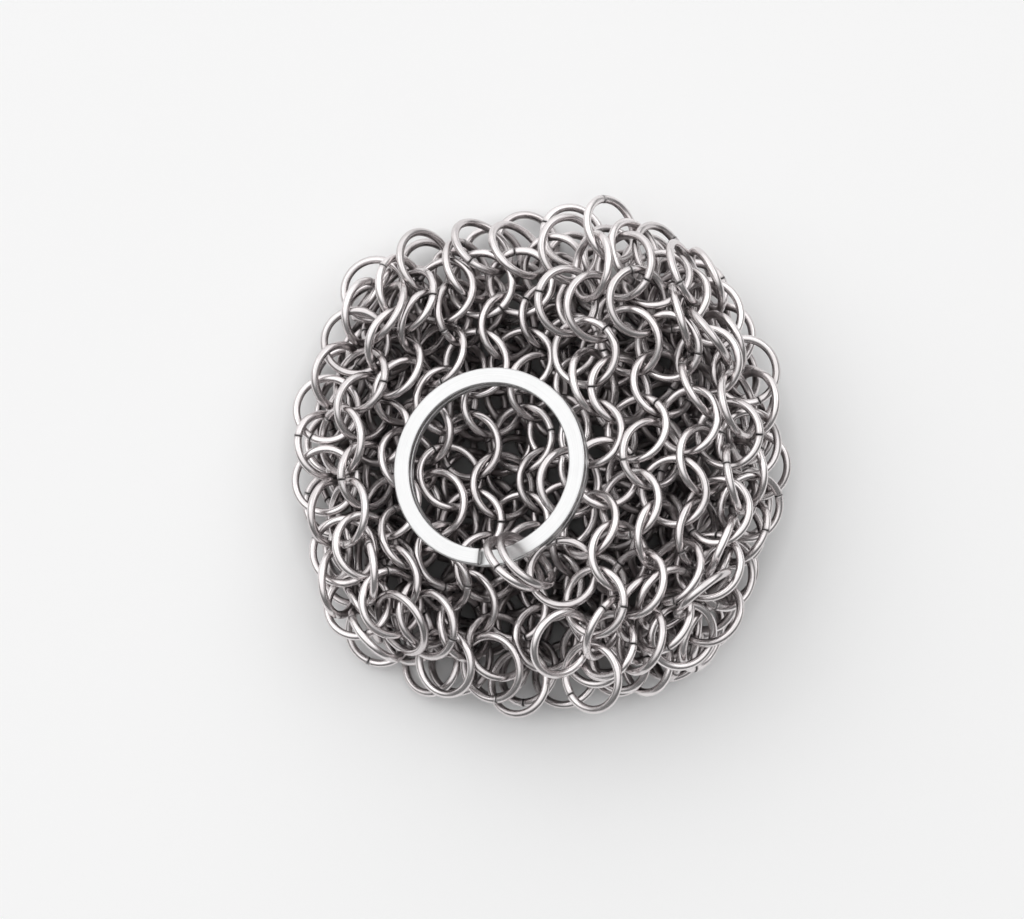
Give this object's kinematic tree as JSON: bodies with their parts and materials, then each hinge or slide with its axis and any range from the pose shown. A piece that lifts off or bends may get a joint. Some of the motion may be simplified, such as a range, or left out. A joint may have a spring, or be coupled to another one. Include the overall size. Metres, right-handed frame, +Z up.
{
  "type": "pot scrubber",
  "caption": "Pot scrubber of interlinked round wire rings bunched into a round heap, with a flat-wire split ring tied to its free edge by small links for hanging.",
  "frame": {"origin": "centre of the bounding box's base, on the surface that the heap lies on", "axes": "+Z up from that surface, +X to the right and +Y to the top of the picture"},
  "size_m": [0.0764, 0.08, 0.0273],
  "materials": {
    "mail_wire": "drawn stainless wire, tumbled, satin to bright",
    "split_ring_steel": "flat spring-steel wire, ground and polished"
  },
  "bodies": {
    "mail": {"mail_course_01": "mail_wire", "mail_course_02": "mail_wire", "mail_course_03": "mail_wire", "mail_course_04": "mail_wire", "mail_course_05": "mail_wire", "mail_course_06": "mail_wire", "mail_course_07": "mail_wire", "mail_course_08": "mail_wire", "mail_course_09": "mail_wire", "mail_course_10": "mail_wire", "mail_course_11": "mail_wire", "mail_course_12": "mail_wire", "mail_course_13": "mail_wire", "mail_course_14": "mail_wire", "mail_course_15": "mail_wire", "mail_course_16": "mail_wire", "mail_course_17": "mail_wire", "mail_course_18": "mail_wire", "mail_course_19": "mail_wire", "mail_course_20": "mail_wire", "mail_course_21": "mail_wire", "mail_course_22": "mail_wire", "mail_course_23": "mail_wire", "mail_course_24": "mail_wire", "mail_course_25": "mail_wire", "mail_course_26": "mail_wire", "mail_course_27": "mail_wire"},
    "edge_ring_01": {"edge_ring_01": "mail_wire"},
    "edge_ring_02": {"edge_ring_02": "mail_wire"},
    "edge_ring_03": {"edge_ring_03": "mail_wire"},
    "edge_ring_04": {"edge_ring_04": "mail_wire"},
    "edge_ring_05": {"edge_ring_05": "mail_wire"},
    "edge_ring_06": {"edge_ring_06": "mail_wire"},
    "edge_ring_07": {"edge_ring_07": "mail_wire"},
    "edge_ring_08": {"edge_ring_08": "mail_wire"},
    "edge_ring_09": {"edge_ring_09": "mail_wire"},
    "edge_ring_10": {"edge_ring_10": "mail_wire"},
    "edge_ring_11": {"edge_ring_11": "mail_wire"},
    "hanger_link_1": {"hanger_link_1": "mail_wire"},
    "hanger_link_2": {"hanger_link_2": "mail_wire"},
    "split_ring": {"split_ring": "split_ring_steel"}
  },
  "joints": [
    {"name": "edge_ring_01_swing", "type": "hinge", "parent": "mail", "child": "edge_ring_01", "pos_m": [-0.0002, 0.03096, 0.00756], "axis": [-0.0455, 0.8515, -0.5223], "range_deg": [-1.5, 58]},
    {"name": "edge_ring_02_swing", "type": "hinge", "parent": "mail", "child": "edge_ring_02", "pos_m": [-0.01061, -0.0292, 0.00898], "axis": [0.2012, 0.8277, 0.5239], "range_deg": [-30.5, 1.5]},
    {"name": "edge_ring_03_swing", "type": "hinge", "parent": "mail", "child": "edge_ring_03", "pos_m": [0.01321, 0.02685, 0.00979], "axis": [0.3176, 0.6524, -0.6881], "range_deg": [-0.5, 22.5]},
    {"name": "edge_ring_04_swing", "type": "hinge", "parent": "mail", "child": "edge_ring_04", "pos_m": [0.00905, 0.02962, 0.02134], "axis": [-0.6598, 0.5688, 0.4911], "range_deg": [-0.5, 23.5]},
    {"name": "edge_ring_05_swing", "type": "hinge", "parent": "mail", "child": "edge_ring_05", "pos_m": [0.02861, 0.00596, 0.00204], "axis": [0.4804, 0.8766, -0.0274], "range_deg": [-16, 2.5]},
    {"name": "edge_ring_06_swing", "type": "hinge", "parent": "mail", "child": "edge_ring_06", "pos_m": [0.0055, 0.02068, 0.01906], "axis": [0.4541, 0.8896, -0.0496], "range_deg": [-1, 19.5]},
    {"name": "edge_ring_07_swing", "type": "hinge", "parent": "mail", "child": "edge_ring_07", "pos_m": [0.0054, -0.0295, 0.01805], "axis": [0.2282, 0.9209, 0.3162], "range_deg": [-4.5, 19.5]},
    {"name": "edge_ring_08_swing", "type": "hinge", "parent": "mail", "child": "edge_ring_08", "pos_m": [0.00632, 0.00716, 0.02018], "axis": [-0.5521, 0.7032, 0.448], "range_deg": [-0.5, 14]},
    {"name": "edge_ring_09_swing", "type": "hinge", "parent": "mail", "child": "edge_ring_09", "pos_m": [0.0153, 0.02626, 0.00372], "axis": [0.0838, 0.4967, 0.8639], "range_deg": [-7.5, 0]},
    {"name": "edge_ring_10_swing", "type": "hinge", "parent": "mail", "child": "edge_ring_10", "pos_m": [0.02054, -0.0241, 0.00255], "axis": [-0.889, 0.0171, -0.4575], "range_deg": [-2, 6]},
    {"name": "edge_ring_11_swing", "type": "hinge", "parent": "mail", "child": "edge_ring_11", "pos_m": [-0.02307, -0.02583, 0.01007], "axis": [0.3781, -0.8688, -0.3197], "range_deg": [-2.5, 5]},
    {"name": "hanger_link_1_swing", "type": "hinge", "parent": "mail", "child": "hanger_link_1", "pos_m": [-0.00103, -0.01823, 0.01971], "axis": [0.1807, 0.9822, -0.0518], "range_deg": [0, 13.8]},
    {"name": "hanger_link_2_swing", "type": "hinge", "parent": "mail", "child": "hanger_link_2", "pos_m": [-0.00103, -0.01823, 0.01971], "axis": [0.1807, 0.9822, -0.0518], "range_deg": [0, 13.8]},
    {"name": "split_ring_lift", "type": "hinge", "parent": "hanger_link_1", "child": "split_ring", "pos_m": [-0.00532, -0.0165, 0.02073], "axis": [0.9384, 0.1931, 0.2867], "range_deg": [0, 115]}
  ],
  "couplings": [
    {"joint": "hanger_link_1_swing", "follows": "split_ring_lift", "ratio": 0.12},
    {"joint": "hanger_link_2_swing", "follows": "split_ring_lift", "ratio": 0.12}
  ]
}
